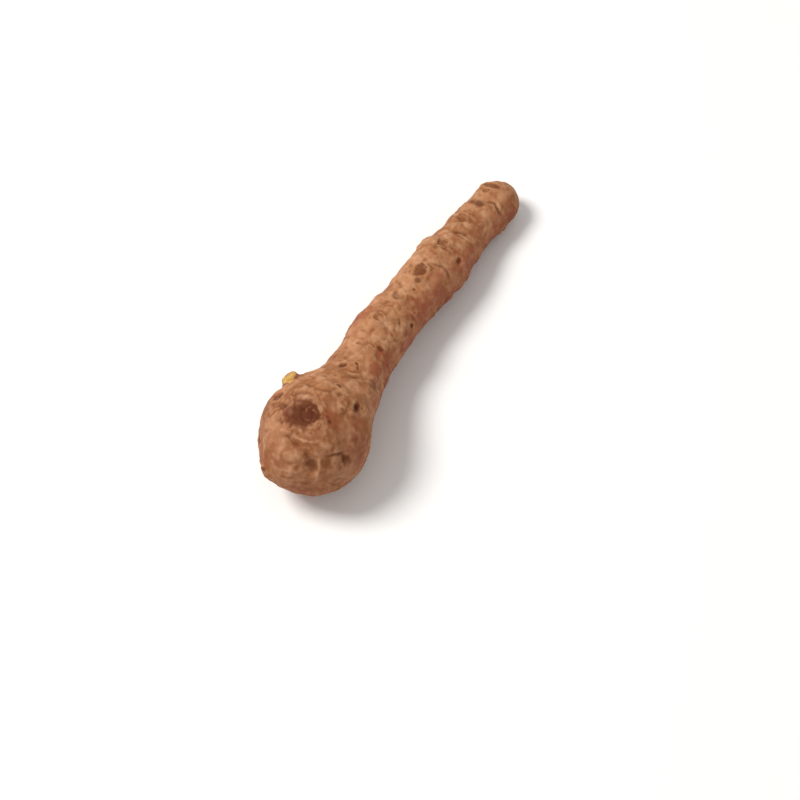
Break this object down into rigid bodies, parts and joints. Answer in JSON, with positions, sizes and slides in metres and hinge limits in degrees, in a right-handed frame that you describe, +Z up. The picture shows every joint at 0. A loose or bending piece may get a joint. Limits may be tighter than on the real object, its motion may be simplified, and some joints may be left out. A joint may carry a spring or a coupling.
{
  "type": "turmeric root",
  "caption": "Fresh turmeric rhizome lying down: a round mother bulb that runs on into a long, ringed finger, with bud scars and the stub of a snapped side finger.",
  "frame": {"origin": "on the surface that the root lies on, under the middle of the root", "axes": "+X along the root from the bulb to the finger's tip, +Z up, +Y to the side that the snapped stub is on"},
  "size_m": [0.1386, 0.0352, 0.0346],
  "materials": {
    "skin": "matte, papery tan-brown skin with darker rings, scars and reddish patches"
  },
  "bodies": {
    "root": {"turmeric_root": "skin"}
  },
  "joints": []
}
